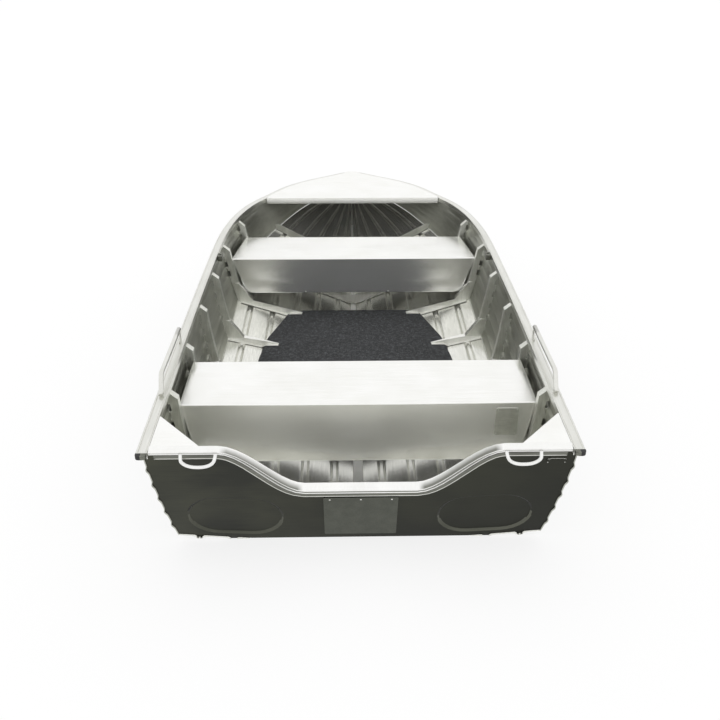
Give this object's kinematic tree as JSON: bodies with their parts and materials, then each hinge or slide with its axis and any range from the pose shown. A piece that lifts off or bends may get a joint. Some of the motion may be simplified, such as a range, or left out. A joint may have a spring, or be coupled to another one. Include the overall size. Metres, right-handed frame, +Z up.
{
  "type": "open aluminium dinghy",
  "caption": "Open pressed-aluminium dinghy with box seats, a foredeck, floor mat, grab rails and an outboard pad on a dipped transom.",
  "frame": {"origin": "on the waterline of the empty boat, on its centreline, 1.50 m forward of the transom's top edge", "axes": "+Y to the bow, +X to starboard, +Z up"},
  "size_m": [1.4546, 3.0747, 0.6183],
  "materials": {
    "bright_aluminium": "bright extrusion and folded sheet, clean mill finish",
    "hull_sheet": "pressed mill-finish sheet, soft brushed streaks",
    "transom_sheet": "darker weathered sheet, satin",
    "white_coat": "white powder coat",
    "black_moulding": "moulded, satin",
    "charcoal_carpet": "short pile marine carpet"
  },
  "bodies": {
    "root": {"aftSeat": "bright_aluminium", "bowEye": "bright_aluminium", "capacityPlate": "hull_sheet", "cornerGussetPort": "bright_aluminium", "cornerGussetStarboard": "bright_aluminium", "drainBung": "black_moulding", "floorFrame1Port": "bright_aluminium", "floorFrame1Starboard": "bright_aluminium", "floorFrame2Port": "bright_aluminium", "floorFrame2Starboard": "bright_aluminium", "floorFrame3Port": "bright_aluminium", "floorFrame3Starboard": "bright_aluminium", "floorFrame4Port": "bright_aluminium", "floorFrame4Starboard": "bright_aluminium", "floorFrame5Port": "bright_aluminium", "floorFrame5Starboard": "bright_aluminium", "floorFrame6": "bright_aluminium", "floorFrame7": "bright_aluminium", "floorMat": "charcoal_carpet", "foredeck": "bright_aluminium", "forwardSeat": "bright_aluminium", "grabHandlePort": "bright_aluminium", "grabHandleStarboard": "bright_aluminium", "gunwaleCapPort": "black_moulding", "gunwaleCapStarboard": "black_moulding", "gunwalePort": "bright_aluminium", "gunwaleStarboard": "bright_aluminium", "hullBottomPort": "hull_sheet", "hullBottomStarboard": "hull_sheet", "hullSidePort": "hull_sheet", "hullSideStarboard": "hull_sheet", "keel": "hull_sheet", "keelson": "bright_aluminium", "outboardPadInner": "hull_sheet", "outboardPadOuter": "hull_sheet", "rowlockSeatPort": "hull_sheet", "rowlockSeatStarboard": "hull_sheet", "sideRib1Port": "bright_aluminium", "sideRib1Starboard": "bright_aluminium", "sideRib2Port": "bright_aluminium", "sideRib2Starboard": "bright_aluminium", "sideRib3Port": "bright_aluminium", "sideRib3Starboard": "bright_aluminium", "sideRib4Port": "bright_aluminium", "sideRib4Starboard": "bright_aluminium", "sideRib5Port": "bright_aluminium", "sideRib5Starboard": "bright_aluminium", "sideRib6Port": "bright_aluminium", "sideRib6Starboard": "bright_aluminium", "smallTag": "transom_sheet", "transomHandlePort": "white_coat", "transomHandleStarboard": "white_coat", "transomPanel": "transom_sheet", "transomRail": "bright_aluminium"}
  },
  "joints": []
}
